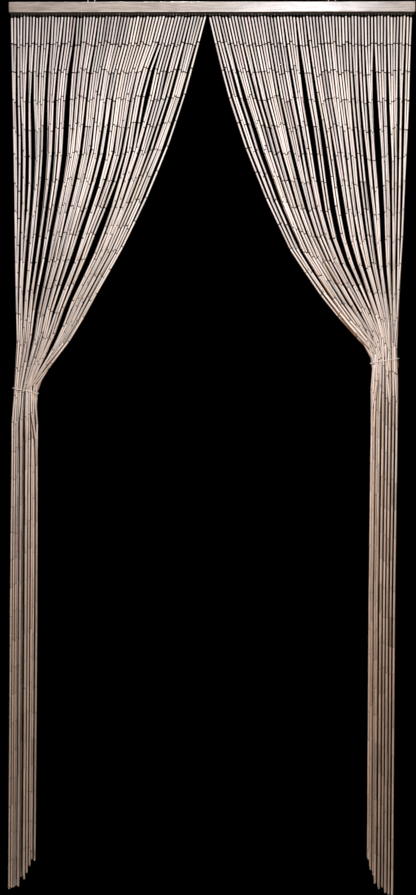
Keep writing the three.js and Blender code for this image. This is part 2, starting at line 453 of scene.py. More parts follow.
@dataclass(frozen=True)
class ThreadFinish:
    """Pale twisted cotton thread of two plies, which go once round each other in a twist's length."""

    pale: Colour = (0.80, 0.77, 0.71)
    shadow: Colour = (0.46, 0.42, 0.36)
    twist: float = 1.3
    plies: float = 2.0
    fuzz_scale: float = 4200.0
    roughness: float = 0.75
    sheen: float = 0.3
    bump_depth: float = 0.00018

    def material(self) -> bpy.types.Material:
        """Makes the material on the thread's UV map: U runs round it and V along it."""
        made, r = fresh_material("tie thread")
        uv = r.signal("ShaderNodeUVMap", {"uv_map": "thread_uv"}, {}, 0)
        split = r.node("ShaderNodeSeparateXYZ", None, {0: uv})
        around, along = Signal(r, split.outputs[0]), Signal(r, split.outputs[1])
        ply = ((along / self.twist + around * self.plies) * (2 * math.pi)).sine() * 0.5 + 0.5
        metres = r.signal("ShaderNodeTexCoord", None, {}, "Object")
        fuzz = r.noise(metres, self.fuzz_scale, 2.0, 0.6)
        colour = r.mix(ply * 0.7 + fuzz * 0.3, self.shadow, self.pale)
        normal = r.bump(ply * 0.8 + fuzz * 0.2, self.bump_depth)
        r.surface(Base_Color=colour, Roughness=self.roughness, Normal=normal, Sheen_Weight=self.sheen)
        return made


# The curtain's sections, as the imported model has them


@dataclass(frozen=True)
class Section:
    """The outline of one half at one drop below the rail's underside.

    outer and inner are X, at the curtain's side edge and towards its middle. front and back are Y.
    """

    drop: float
    outer: float
    inner: float
    front: float
    back: float


@dataclass(frozen=True)
class Lock:
    """A group of neighbouring strands, and the gap to the next group.

    The gap is widest at one drop below the rail, and fades over a reach above and below it. It opens
    over a distance below the rail. late is the width of a second gap, just above the tie.
    """

    strands: int
    gap: float = 0.0
    drop: float = 300.0
    reach: float = 150.0
    opening: float = 120.0
    late: float = 0.0
    late_drop: float = 665.0
    late_reach: float = 85.0

    def gap_at(self, drop: float) -> float:
        """The gap's width at a drop below the rail."""
        late = self.late * math.exp(-(((drop - self.late_drop) / self.late_reach) ** 2))
        wide = self.gap * math.exp(-(((drop - self.drop) / self.reach) ** 2))
        return late + wide * min(1.0, drop / self.opening)


@dataclass(frozen=True)
class Column:
    """Strands that hang one behind another below the tie.

    share is where the column is across the bundle, from 0 at the outer edge to 1 at the inner one.
    """

    share: float
    strands: int


@dataclass(frozen=True)
class Stray:
    """A strand with a place of its own below the tie.

    The strand counts from the outer side. column is its column of the bundle, from the outer side, and
    front tells whether it is the foremost there or the rearmost.
    """

    strand: int
    column: int
    front: bool


@dataclass(frozen=True)
class Rail:
    """The wooden batten, and where the strands leave it."""

    length: float = 900.0
    depth: float = 22.0
    height: float = 23.0

    @property
    def underside(self) -> float:
        """Height of the lower face."""
        return -self.height / 2

    @property
    def middle(self) -> float:
        """Middle of the depth, along Y."""
        return -self.depth / 2


RAIL = Rail()


@dataclass(frozen=True)
class Half:
    """One half of the curtain: its sections from the rail to the waist and below, and its locks.

    columns are where the strands line up below the tie, from the outer side. bare is a strand whose
    last tube is missing.
    """

    side: Side
    sections: tuple[Section, ...]
    bundle: tuple[Section, ...]
    locks: tuple[Lock, ...]
    columns: tuple[Column, ...]
    strays: tuple[Stray, ...]
    bare: int | None
    seed: int

    @property
    def strands(self) -> int:
        """The number of strands."""
        return sum(lock.strands for lock in self.locks)

    def groups(self, size: int) -> np.ndarray:
        """Numbers the groups of neighbours inside each lock.

        Args:
            size: how many strands a group has, or nearly has.

        Returns:
            Each strand's group.
        """
        marks = []
        for n, lock in enumerate(self.locks):
            groups = max(1, round(lock.strands / size))
            marks += [self.strands * n + i * groups // lock.strands for i in range(lock.strands)]
        return np.unique(marks, return_inverse=True)[1]

    @property
    def waist(self) -> Section:
        """The section that the thread ties."""
        return self.sections[-1]

    @property
    def rows(self) -> tuple[Section, ...]:
        """Every section from the top down."""
        return (*self.sections, *self.bundle)

    def section_at(self, drop: float) -> Section:
        """The outline between two sections.

        Args:
            drop: how far it is below the rail.

        Returns:
            The section.
        """
        given = [row.drop for row in self.rows]
        values = {f.name: np.interp(drop, given, [getattr(row, f.name) for row in self.rows])
                  for f in fields(Section)}
        return Section(**{key: float(value) for key, value in values.items()} | {"drop": float(drop)})

    def centres_at(self, section: Section) -> np.ndarray:
        """Where each strand's middle lies along X at one section.

        Args:
            section: the section.

        Returns:
            One X for each strand, from the outer side.
        """
        to_middle = math.copysign(1.0, section.inner - section.outer)
        spare = sum(lock.gap_at(section.drop) for lock in self.locks)
        pitch = (abs(section.inner - section.outer) - spare) / self.strands
        at = section.outer
        centres = []
        for lock in self.locks:
            centres += [at + to_middle * pitch * (i + 0.5) for i in range(lock.strands)]
            at += to_middle * (lock.strands * pitch + lock.gap_at(section.drop))
        return np.array(centres)


LEFT = Half(
    side=Side.LEFT,
    sections=(
        Section(2, -448, -8.5, -13.5, -8.5),
        Section(104, -446, -35, -13.5, -8.5),
        Section(193, -444.5, -59, -13.5, -8.3),
        Section(304, -441, -96, -14, -8),
        Section(415, -438, -142, -14.5, -7.5),
        Section(525, -436.5, -195, -16, -7),
        Section(636, -434, -258, -18.5, -5.5),
        Section(703, -431, -294, -20.5, -4.5),
        Section(747, -431, -323, -22.5, -3.5),
        Section(785, -433, -353, -25, -2.5),
        Section(814, -433.5, -372, -27.5, -2.5),
        Section(840, -433.5, -381, -29, -3.5),
    ),
    bundle=(
        Section(902, -438, -380, -28.5, -1.5),
        Section(1301, -439.5, -378.5, -28.5, -1.5),
        Section(1960, -439.5, -379, -28, -2),
    ),
    locks=(
        Lock(3, 4.5, 360, 180),
        Lock(5, 2, 300, 200),
        Lock(13, 7.5, 230, 150),
        Lock(9, 0, late=2),
        Lock(8, 6, 400, 180, late=2.5),
        Lock(5, 0, late=2.5),
        Lock(4, 11, 500, 110, late=2.5),
        Lock(3, 13, 185, 100, late=2.5),
        Lock(4, 5, 120, 100, late=3),
        Lock(3, 6, 200, 130, late=3),
        Lock(3, 5, 480, 150, late=3),
        Lock(1, 4.4, 330, 140),
        Lock(1),
    ),
    columns=(
        Column(0.035, 6),
        Column(0.122, 5),
        Column(0.208, 5),
        Column(0.278, 5),
        Column(0.366, 8),
        Column(0.455, 3),
        Column(0.573, 8),
        Column(0.675, 7),
        Column(0.784, 5),
        Column(0.852, 4),
        Column(0.968, 6),
    ),
    strays=(Stray(61, 8, True), Stray(60, 9, True), Stray(59, 10, False), Stray(58, 10, True)),
    bare=None,
    seed=SEED,
)

RIGHT = Half(
    side=Side.RIGHT,
    sections=(
        Section(2, 446, -8, -13.5, -8.5),
        Section(104, 442, 17, -13.5, -8.5),
        Section(193, 440, 41.5, -13.5, -8.3),
        Section(304, 436, 80, -14, -8),
        Section(415, 431.5, 126, -14.5, -7.5),
        Section(525, 427.5, 179, -16, -7),
        Section(636, 421.5, 255, -19, -5),
        Section(690, 419, 300, -22, -3.5),
        Section(725, 417, 330, -25, -2.5),
        Section(747, 415.5, 347, -27.5, -2.5),
        Section(770, 417, 358, -29, -3.5),
    ),
    bundle=(
        Section(836, 419, 359.5, -28.5, -1.5),
        Section(1301, 415, 357, -28.5, -1.5),
        Section(1960, 414.5, 357, -28, -2),
    ),
    locks=(
        Lock(12, 7, 310, 250),
        Lock(5, 4.4, 420, 100),
        Lock(3, 4.4, 450, 120),
        Lock(5, 4.4, 530, 120, late=1),
        Lock(5, 6, 460, 120, late=1.5),
        Lock(3, 10, 450, 180, late=1.5),
        Lock(3, 8.8, 300, 180, late=2.5),
        Lock(6, 3, 300, 200, late=3.5),
        Lock(5, 0, late=3.5),
        Lock(5, 0, late=4),
        Lock(6, 4.5, 400, 250, late=4),
        Lock(4, 5, 300, 200, late=4),
        Lock(1),
    ),
    columns=(
        Column(0.045, 7),
        Column(0.175, 6),
        Column(0.303, 8),
        Column(0.425, 5),
        Column(0.556, 8),
        Column(0.7, 8),
        Column(0.775, 5),
        Column(0.885, 8),
        Column(0.965, 8),
    ),
    strays=(Stray(62, 8, False), Stray(61, 8, True)),
    bare=54,
    seed=SEED + 1,
)


# Strands


@dataclass
class Strands:
    """The settled chains of one half. Arrays run over strands and then joints or tubes."""

    joints: np.ndarray
    radii: np.ndarray
    gaps: np.ndarray

    @property
    def axes(self) -> np.ndarray:
        """Unit vectors down each tube."""
        steps = np.diff(self.joints, axis=1)
        return steps / np.linalg.norm(steps, axis=2, keepdims=True)

    @property
    def lengths(self) -> np.ndarray:
        """Length of each tube between its joints' gaps."""
        return np.linalg.norm(np.diff(self.joints, axis=1), axis=2) - self.gaps


@dataclass(frozen=True)
class Cluster:
    """How neighbouring strands come together on their way down.

    Each cluster starts at a drop between first and last, and length further down its strands have
    covered this share of the way to their middle.
    """

    strands: int
    first: float
    last: float
    length: float
    share: float


@dataclass(frozen=True)
class Hanging:
    """How the strands of one half are strung and settled.

    The limits go with the spreads and count in standard deviations.
    """

    # The distances between joints down a strand. Of a strand's own mean deviation from them,
    # pitch_evened is taken out again, so that the strands end at like heights.
    tubes: int = 32
    pitches: tuple[float, ...] = (63.0, *(61.9,) * 7, *(60.05,) * 24)
    pitch_spread: float = 3.0
    pitch_limit: float = 2.5
    pitch_evened: float = 0.8
    radius: float = 2.0
    radius_spread: float = 0.15
    radius_limit: float = 2.0

    # The bare wire at a joint. It is top_gap times as long at the first top_tubes tubes, and low_gap
    # times from low_tube on.
    gap: float = 2.2
    gap_spread: float = 0.9
    widest_gap: float = 3.2
    top_gap: float = 1.25
    top_tubes: int = 2
    low_gap: float = 0.49
    low_tube: int = 14

    # From the rail to a strand's first joint.
    first_link: float = 7.0
    link_spread: float = 1.2
    link_limits: tuple[float, float] = (-1.5, 2.2)

    # At these drops below the rail: how uneven the strands hang, how far they spread to the front and
    # back of the sections' middle, how far the strands of a column have come together, and how far a
    # strand may stand out of the section.
    drops: tuple[float, ...] = (0, 60, 125, 200, 330, 440, 560, 660, 740, 790, 840, 920, 2000)
    sway: tuple[float, ...] = (0, 0.6, 1.1, 1.5, 1.6, 1.4, 1.0, 0.7, 0.5, 0.3, 0.2, 0.15, 0.15)
    depth: tuple[float, ...] = (0.4, 2.2, 3.6, 4.6, 5.8, 7.0, 8.6, 10.4, 12.0, 12.4, 12.0, 13.0, 13.0)
    stack: tuple[float, ...] = (0, 0, 0, 0, 0, 0, 0.04, 0.2, 0.65, 0.9, 1, 1, 1)
    slack: tuple[float, ...] = (1, 1, 1, 1, 1, 1.5, 2, 2.5, 2.5, 2.5, 3, 4, 4)

    # How alike a strand's joints sway, how much of the sway a pair of strands shares, and how much of
    # it there is along Y.
    sway_memory: float = 0.95
    sway_alike: float = 0.75
    sway_deep: float = 0.3
    sway_limit: float = 2.2

    # The routes: clusters, the first, the limit and the step of the drops between the sections, and the
    # X and Y from which strands that hang one behind another line up, as they do in the photograph.
    clusters: tuple[Cluster, ...] = (Cluster(2, 20, 330, 150, 0.7), Cluster(4, 400, 540, 150, 0.86))
    route_drops: tuple[float, float, float] = (100, 900, 40)
    eye: tuple[float, float] = (65.0, -2814.0)

    # Below the tie, the strands of a column are a layer apart, or less where the column would be deeper
    # than deepest. They take their places within tying below the waist.
    layer: float = 4.3
    deepest: float = 33.0
    tying: float = 80.0
    wall: float = -0.8
    wall_room: float = 0.3
    front: float = -38.0

    # A strand is laid along its route in a few tries for each tube, which hangs down at least this share
    # of its length.
    laying_tries: int = 4
    flattest: float = 0.3

    # Strands are compared every level_step of height, from level_start below the highest joint, if they
    # are within reach. Those that touch are pushed apart, by push times what leaves clearance between
    # them. sideways is how readily they part along X, and nudge gives a way to those level along Y.
    clearance: float = 0.1
    level_start: float = 8.0
    level_step: float = 15.0
    reach: float = 11.0
    search_every: int = 12
    push: float = 1.2
    sideways: float = 0.3
    nudge: float = 0.001

    # In each of the rounds, but not in the free ones after them, the joints are drawn by smooth to the
    # middle of their neighbours and pulled back to their routes by the other two shares.
    rounds: int = 180
    free_rounds: int = 40
    smooth: float = 0.2
    pull_across: float = 0.12
    pull_deep: float = 0.04

    # Within tied_length of the waist, strands stay in an outline rounded by tied_power.
    tied_length: float = 9.0
    tied_room: float = 0.7
    tied_power: int = 5
    tied_pull: float = 2.0

    def ranks(self, half: Half, rng: np.random.Generator) -> tuple[np.ndarray, np.ndarray]:
        """Gives every strand a column below the tie, and a rank in it.

        Args:
            half: the half.
            rng: the source of chance.

        Returns:
            Each strand's column, and its rank, from 0 at the front.
        """
        column = np.repeat(np.arange(len(half.columns)), [c.strands for c in half.columns])
        rank = np.zeros(half.strands, int)
        for c in range(len(half.columns)):
            mine = np.nonzero(column == c)[0]
            order = np.mod(np.arange(len(mine)) * GOLDEN_STEP + rng.uniform(), 1.0)
            rank[mine] = np.argsort(np.argsort(order))
        for stray in half.strays:
            mine = np.nonzero(column == stray.column)[0]
            wanted = rank[mine].min() if stray.front else rank[mine].max()
            other = mine[rank[mine] == wanted][0]
            for cell in (column, rank):
                cell[[stray.strand, other]] = cell[[other, stray.strand]]
        return column, rank

    def _clustered(self, half: Half, rng: np.random.Generator, drops: np.ndarray) -> np.ndarray:
        """Where strands lie along X as neighbours come together in clusters, each at its own height.

        Args:
            half: the half.
            rng: the source of chance.
            drops: how far below the rail.

        Returns:
            X at each drop for each strand.
        """
        centres = np.array([half.centres_at(half.section_at(drop)) for drop in drops])
        for cluster in self.clusters:
            group = half.groups(cluster.strands)
            start = rng.uniform(cluster.first, cluster.last, half.strands)[group]
            near = cluster.share * ((drops[:, None] - start) / cluster.length).clip(0, 1)
            together = np.stack([centres[:, group == g].mean(axis=1) for g in group], axis=1)
            centres += near * (together - centres)
        return centres

    def route(self, half: Half, rng: np.random.Generator) -> Callable[[np.ndarray], np.ndarray]:
        """The smooth routes that the strands of a half start on.

        Above the tie, neighbours first come together in clusters and then in the columns that they form
        below it.

        Args:
            half: the half.
            rng: the source of chance.

        Returns:
            A function from heights, one for each strand and joint, to X and Y there.
        """
        rows = [row.drop for row in half.rows]
        drops = np.unique(np.concatenate([self.drops, rows, np.arange(*self.route_drops)]))
        column, rank = self.ranks(half, rng)
        centres = self._clustered(half, rng, drops)
        size = np.array([half.columns[c].strands for c in column])
        stray = np.isin(np.arange(half.strands), [s.strand for s in half.strays])
        joined = np.interp(drops, self.drops, self.stack)[:, None] * ~stray
        own = column[:, None] == column[None, :]
        stacked = centres @ (own / own.sum(axis=0))
        centres += joined * (stacked - centres)
        step = np.minimum(self.layer, (self.deepest - 2 * self.radius) / np.maximum(size - 1, 1))
        aside = np.sqrt(np.maximum(self.layer**2 - step**2, 0)) / 2 * np.where(rank % 2, 1, -1)
        share = np.array([c.share for c in half.columns])[column]
        for row, drop in enumerate(drops):
            if drop >= half.waist.drop:
                section = half.section_at(drop)
                centres[row] = section.outer + (section.inner - section.outer) * share + aside
        layer = 2 * (rank + 0.5) / size - 1
        spread = np.interp(drops, self.drops, self.depth)[:, None] * layer
        middle = np.array([[(s.front + s.back) / 2] for s in map(half.section_at, drops)])
        bundled = np.interp(drops, [half.waist.drop, half.waist.drop + self.tying], [0, 1])[:, None]
        hung = self.wall - self.radius - self.wall_room - step * (size - 1 - rank)
        deep = (middle + spread) * (1 - bundled) + hung * bundled
        centres += (centres - self.eye[0]) / (middle - self.eye[1]) * (deep - middle)

        def place(heights: np.ndarray) -> np.ndarray:
            """X and Y of each strand at these heights, an array of strands by joints."""
            below = RAIL.underside - heights
            across = [np.interp(row, drops, centres[:, i]) for i, row in enumerate(below)]
            back = [np.interp(row, drops, deep[:, i]) for i, row in enumerate(below)]
            return np.stack([across, back], axis=2)

        return place

    def _sizes(self, rng: np.random.Generator, count: int) -> tuple[np.ndarray, ...]:
        """Draws the sizes of every tube.

        Args:
            rng: the source of chance.
            count: the number of strands.

        Returns:
            The distances between joints, the radii and the gaps, for each strand and tube.
        """
        shape = (count, self.tubes)
        uneven = self.pitch_spread * rng.standard_normal(shape).clip(-self.pitch_limit, self.pitch_limit)
        pitch = np.array(self.pitches) + uneven - self.pitch_evened * uneven.mean(axis=1, keepdims=True)
        odd = rng.standard_normal(shape).clip(-self.radius_limit, self.radius_limit)
        gaps = self.gap + self.gap_spread * rng.uniform(-1, 1, shape)
        gaps[:, : self.top_tubes] *= self.top_gap
        gaps[:, self.low_tube :] *= self.low_gap
        return pitch, self.radius + self.radius_spread * odd, np.minimum(gaps, self.widest_gap)

    def settle(self, half: Half) -> Strands:
        """Hangs the strands of a half.

        Args:
            half: the half.

        Returns:
            Its strands, most of their tubes clear of each other.
        """
        rng = np.random.default_rng(half.seed)
        pitch, radii, gaps = self._sizes(rng, half.strands)
        longer = rng.standard_normal(half.strands).clip(*self.link_limits)
        hang = self.first_link + self.link_spread * longer
        place = self.route(half, rng)
        sway = self._sway(rng, half.groups(2))
        joints = self._strung(place, pitch, hang)
        drops = [row.drop for row in half.rows]
        edges = [[getattr(row, key) for row in half.rows] for key in ("outer", "inner")]
        for turn in range(self.rounds + self.free_rounds):
            if turn % self.search_every == 0:
                pairs = self._neighbours(joints)
            joints += self._pushes(joints, radii, pairs, half)
            below = RAIL.underside - joints[:, :, 2]
            guide = place(joints[:, :, 2])
            guide += sway * np.interp(below, self.drops, self.sway)[..., None]
            offset = joints[:, :, :2] - guide
            between = (offset[:, :-2] + offset[:, 2:]) / 2
            if turn < self.rounds:
                offset[:, 1:-1] += self.smooth * (between - offset[:, 1:-1])
                offset *= (1 - self.pull_across, 1 - self.pull_deep)
            joints[:, 1:, :2] = (guide + offset)[:, 1:]
            sides = [np.interp(below[:, 1:], drops, edge) for edge in edges]
            room = self.radius - np.interp(below[:, 1:], self.drops, self.slack)
            low, high = np.minimum(*sides) + room, np.maximum(*sides) - room
            joints[:, 1:, 0] = joints[:, 1:, 0].clip(low, high)
            joints[:, 1:, 1] = joints[:, 1:, 1].clip(self.front + self.radius, self.wall - self.radius)
            self._keep_lengths(joints, pitch)
        return Strands(joints, radii, gaps)

    def _sway(self, rng: np.random.Generator, pair: np.ndarray) -> np.ndarray:
        """Unevenness of the joints, alike down a strand and in a pair.

        Args:
            rng: the source of chance.
            pair: the number of each strand's pair.

        Returns:
            X and Y factors for each strand and joint. The strands at the two edges have none along X.
        """
        shape = (len(pair), self.tubes + 1, 2)
        steps = rng.standard_normal(shape).clip(-self.sway_limit, self.sway_limit) * (1.0, self.sway_deep)
        fresh = math.sqrt(1 - self.sway_memory**2)
        for k in range(1, self.tubes + 1):
            steps[:, k] = self.sway_memory * steps[:, k - 1] + fresh * steps[:, k]
        own, alike = math.sqrt(1 - self.sway_alike), math.sqrt(self.sway_alike)
        steps[..., 0] = own * steps[..., 0] + alike * steps[pair, :, 0]
        steps[[0, -1], :, 0] = 0
        return steps

    def _strung(self, place: Callable, pitch: np.ndarray, hang: np.ndarray) -> np.ndarray:
        """Chains laid along the routes with their real lengths.

        Args:
            place: the routes.
            pitch: the distance between joints.
            hang: how far each strand's first joint is below the rail.

        Returns:
            The joints.
        """
        count, tubes = pitch.shape
        joints = np.zeros((count, tubes + 1, 3))
        joints[:, 0, 2] = RAIL.underside - hang
        joints[:, 0, :2] = place(joints[:, :1, 2])[:, 0]
        for k in range(tubes):
            down = pitch[:, k].copy()
            for _ in range(self.laying_tries):
                height = joints[:, k, 2] - down
                step = place(height[:, None])[:, 0] - joints[:, k, :2]
                sideways = (step**2).sum(axis=1)
                least = self.flattest * pitch[:, k]
                down = np.sqrt(np.maximum(pitch[:, k] ** 2 - sideways, least**2))
            joints[:, k + 1, 2] = joints[:, k, 2] - down
            joints[:, k + 1, :2] = place(joints[:, k + 1 : k + 2, 2])[:, 0]
        self._keep_lengths(joints, pitch)
        return joints

    @staticmethod
    def _keep_lengths(joints: np.ndarray, pitch: np.ndarray) -> None:
        """Sets every joint at its tube's length from the one above, in place.

        Args:
            joints: the joints.
            pitch: the distance between joints.
        """
        for k in range(pitch.shape[1]):
            step = joints[:, k + 1] - joints[:, k]
            far = np.linalg.norm(step, axis=1)
            joints[:, k + 1] = joints[:, k] + step * (pitch[:, k] / far)[:, None]

    def _levels(self, joints: np.ndarray) -> tuple[np.ndarray, np.ndarray, np.ndarray]:
        """Where each strand crosses a set of heights.

        Args:
            joints: the joints.

        Returns:
            The tube that crosses each height, or -1 where none does, how far down that tube, and the
            heights.
        """
        low, high = joints[:, -1, 2].min(), joints[:, 0, 2].max()
        heights = np.arange(high - self.level_start, low, -self.level_step)
        above = (joints[:, :, 2, None] > heights).sum(axis=1) - 1
        tubes = joints.shape[1] - 1
        crossed = (above >= 0) & (above < tubes)
        tube = np.where(crossed, above, 0)
        rows = np.arange(len(joints))[:, None]
        top, foot = joints[rows, tube, 2], joints[rows, tube + 1, 2]
        share = (top - heights) / (top - foot)
        return np.where(crossed, tube, -1), share, heights

    def _neighbours(self, joints: np.ndarray) -> tuple[np.ndarray, ...]:
        """Pairs of strands that come near each other, at each height.

        Args:
            joints: the joints.

        Returns:
            The two strands and the height's number of every pair.
        """
        tube, share, heights = self._levels(joints)
        rows = np.arange(len(joints))[:, None]
        k = np.maximum(tube, 0)
        at = joints[rows, k] * (1 - share[..., None]) + joints[rows, k + 1] * share[..., None]
        found = []
        for j in range(len(heights)):
            here = np.nonzero(tube[:, j] >= 0)[0]
            spot = at[here, j, :2]
            near = np.abs(spot[:, None] - spot[None]).max(axis=2) < self.reach
            a, b = np.nonzero(np.triu(near, 1))
            found.append((here[a], here[b], np.full(len(a), j)))
        return tuple(np.concatenate(part) for part in zip(*found))

    def _pushes(self, joints: np.ndarray, radii: np.ndarray, pairs: tuple, half: Half) -> np.ndarray:
        """How far each joint moves so that strands part, and stay within the thread at the waist.

        Strands that overlap part along Y rather than along X, as one hangs before the other.

        Args:
            joints: the joints.
            radii: the tubes' radii.
            pairs: neighbours, from _neighbours.
            half: the half, for its waist.

        Returns:
            A move for each joint.
        """
        tube, share, heights = self._levels(joints)
        first, second, level = (part[pairs[2] < len(heights)] for part in pairs)
        ka, kb = tube[first, level], tube[second, level]
        kept = (ka >= 0) & (kb >= 0)
        first, second, level, ka, kb = (part[kept] for part in (first, second, level, ka, kb))
        ta, tb = share[first, level][:, None], share[second, level][:, None]
        # Where both tubes are at this height, and how far apart across them.
        axes = np.diff(joints, axis=1)
        at_a = joints[first, ka] + axes[first, ka] * ta
        at_b = joints[second, kb] + axes[second, kb] * tb
        along = axes[first, ka] + axes[second, kb]
        along /= np.linalg.norm(along, axis=1, keepdims=True)
        apart = at_a - at_b
        apart -= (apart * along).sum(axis=1, keepdims=True) * along
        far2 = (apart**2).sum(axis=1)
        need = radii[first, ka] + radii[second, kb] + self.clearance
        touching = far2 < need**2
        # The way they part, mostly along Y, and how far it takes them to be clear.
        way = apart * (self.sideways, 1.0, 1.0)
        way[:, 1] += np.where(way[:, 1] < 0, -self.nudge, self.nudge)
        way -= (way * along).sum(axis=1, keepdims=True) * along
        way /= np.linalg.norm(way, axis=1, keepdims=True)
        toward = (apart * way).sum(axis=1)
        step = np.sqrt(np.maximum(toward**2 + need**2 - far2, 0)) - toward
        shift = way * (step / 2)[:, None]
        # The mean of every move that a joint is given.
        move = np.zeros_like(joints)
        weight = np.full(joints.shape[:2], TINY)

        def spread(strand: np.ndarray, k: np.ndarray, t: np.ndarray, by: np.ndarray) -> None:
            """Shares a shift between the two joints of each tube."""
            for end, part in ((k, 1 - t), (k + 1, t)):
                np.add.at(move, (strand, end), by * part)
                np.add.at(weight, (strand, end), part[:, 0])

        spread(first[touching], ka[touching], ta[touching], shift[touching])
        spread(second[touching], kb[touching], tb[touching], -shift[touching])
        spread(*self._within_tie(joints, tube, share, heights, half))
        move *= (self.push / weight)[..., None]
        move[:, 0] = 0
        return move

    def _within_tie(self, joints: np.ndarray, tube: np.ndarray, share: np.ndarray,
                    heights: np.ndarray, half: Half) -> tuple[np.ndarray, ...]:
        """What brings strands at the waist back inside the thread.

        Args:
            joints: the joints.
            tube: the tube that crosses each height.
            share: how far down that tube.
            heights: the heights.
            half: the half.

        Returns:
            Strands, tubes, shares and shifts.
        """
        waist = half.waist
        at_waist = np.abs(heights - (RAIL.underside - waist.drop)) < self.tied_length
        strand, level = np.nonzero((tube >= 0) & at_waist[None, :])
        k, t = tube[strand, level], share[strand, level][:, None]
        at = joints[strand, k] * (1 - t) + joints[strand, k + 1] * t
        centre = np.array([(waist.outer + waist.inner) / 2, (waist.front + waist.back) / 2])
        room = np.array([abs(waist.outer - waist.inner) / 2, (waist.back - waist.front) / 2])
        room += self.tied_room - self.radius
        offset = at[:, :2] - centre
        size = ((np.abs(offset) / room) ** self.tied_power).sum(axis=1) ** (1 / self.tied_power)
        out = size > 1
        by = np.zeros((out.sum(), 3))
        by[:, :2] = offset[out] * (1 / size[out] - 1)[:, None] * self.tied_pull
        return strand[out], k[out], t[out], by


# Small shapes that repeat, and shapes along a path


def wrapped(columns: int, marks: Sequence[float], place: Callable[[int, int], Sequence[float]],
            smooth: Callable[[int], bool] = lambda row: True) -> bmesh.types.BMesh:
    """A grid wrapped round into a closed or open skin.

    Args:
        columns: the number of faces round it.
        marks: V on the UV map of each row of points, so there is one more than there are rows.
        place: the point of a column and row, in millimetres.
        smooth: whether a row of faces is smooth.

    Returns:
        The mesh, where points that meet are merged.
    """
    rows = len(marks) - 1
    bm = bmesh.new()
    uv = bm.loops.layers.uv.new("wrap")
    bmesh.ops.create_grid(bm, x_segments=columns, y_segments=rows, size=1.0)
    spots = {v: (round((v.co.x + 1) / 2 * columns), round((v.co.y + 1) / 2 * rows)) for v in bm.verts}
    for face in bm.faces:
        for loop in face.loops:
            i, j = spots[loop.vert]
            loop[uv].uv = (i / columns, marks[j])
        face.smooth = smooth(min(spots[v][1] for v in face.verts))
    for vert, (i, j) in spots.items():
        vert.co = place(i, j)
    bmesh.ops.remove_doubles(bm, verts=bm.verts, dist=SAME_POINT)
    return bm


def linked(name: str, mesh: bpy.types.Mesh) -> bpy.types.Object:
    """Puts a mesh in the scene.

    Args:
        name: the object's name.
        mesh: its mesh.

    Returns:
        The object.
    """
    made = bpy.data.objects.new(name, mesh)
    bpy.context.scene.collection.objects.link(made)
    return made


def finished(name: str, bm: bmesh.types.BMesh) -> bpy.types.Object:
    """Makes an object of a shape in millimetres, and frees the shape.

    Args:
        name: the object's name.
        bm: the shape.

    Returns:
        The object, in metres.
    """
    bmesh.ops.scale(bm, verts=bm.verts, vec=(MM, MM, MM))
    mesh = bpy.data.meshes.new(name)
    bm.to_mesh(mesh)
    bm.free()
    return linked(name, mesh)


class Stamp:
    """A small mesh, made once, that is laid many times into one joined mesh.

    Each copy has its own part of the material's pattern, up to pattern_reach away from the first, and
    its own cell of the OFBake map, with a margin.
    """

    pattern_reach: float = 4000.0
    margin: float = 0.06

    def __init__(self, blank: bmesh.types.BMesh, hidden: Callable[[Vector], bool], tall: float) -> None:
        """Reads the blank and frees it.

        Args:
            blank: the shape, in millimetres, made of four-sided faces with a wrap UV map.
            hidden: tells which points belong to a hidden inner face, for the tone's alpha.
            tall: how many times taller than wide its unwrapped skin is.
        """
        bmesh.ops.recalc_face_normals(blank, faces=blank.faces)
        blank.verts.index_update()
        uv = blank.loops.layers.uv["wrap"]
        self.points = np.array([v.co for v in blank.verts])
        self.faces = np.array([[v.index for v in f.verts] for f in blank.faces])
        self.uv = np.array([loop[uv].uv for f in blank.faces for loop in f.loops])
        self.smooth = np.array([f.smooth for f in blank.faces])
        self.hidden = np.array([hidden(v.co) for v in blank.verts], float)
        self.tall = tall
        blank.free()

    def lay(self, name: str, frames: np.ndarray, origins: np.ndarray, tones: np.ndarray,
            lengths: np.ndarray | None = None) -> bpy.types.Object:
        """Lays the shape into a new joined mesh.

        Args:
            name: the piece's name.
            frames: a 3 by 3 matrix for each copy, which turns and scales it.
            origins: where each copy goes, in millimetres.
            tones: three numbers from 0 to 1 for each copy, for the material.
            lengths: an extra length for each copy. Points above its middle move up by half of it, and
                those below it down.

        Returns:
            The object.
        """
        count, size = len(frames), len(self.points)
        local = np.repeat(self.points[None], count, axis=0)
        if lengths is not None:
            local[:, :, 2] += np.sign(local[:, :, 2]) * lengths[:, None] / 2
        world = np.einsum("nij,nvj->nvi", frames, local) + origins[:, None]
        faces = (self.faces[None] + size * np.arange(count)[:, None, None]).reshape(-1, 4)
        mesh = bpy.data.meshes.new(name)
        mesh.from_pydata((world.reshape(-1, 3) * MM).tolist(), [], faces.tolist())
        mesh.polygons.foreach_set("use_smooth", np.tile(self.smooth, count))
        shift = np.random.default_rng(SEED).uniform(0, self.pattern_reach, (count, 1, 3))
        place = mesh.attributes.new("bead_place", "FLOAT_VECTOR", "POINT")
        place.data.foreach_set("vector", (local + shift).astype(np.float32).ravel())
        tone = mesh.attributes.new("bead_tone", "FLOAT_COLOR", "POINT")
        colours = np.zeros((count, size, 4), np.float32)
        colours[:, :, :3] = tones[:, None]
        colours[:, :, 3] = self.hidden
        tone.data.foreach_set("color", colours.ravel())
        across = math.ceil(math.sqrt(count * self.tall))
        grid = np.array([across, math.ceil(count / across)])
        cell = np.stack([np.arange(count) % across, np.arange(count) // across], axis=1)
        spots = (cell[:, None] + self.margin + (1 - 2 * self.margin) * self.uv[None]) / grid
        layer = mesh.uv_layers.new(name="OFBake")
        layer.uv.foreach_set("vector", spots.astype(np.float32).ravel())
        mesh.update()
        return linked(name, mesh)


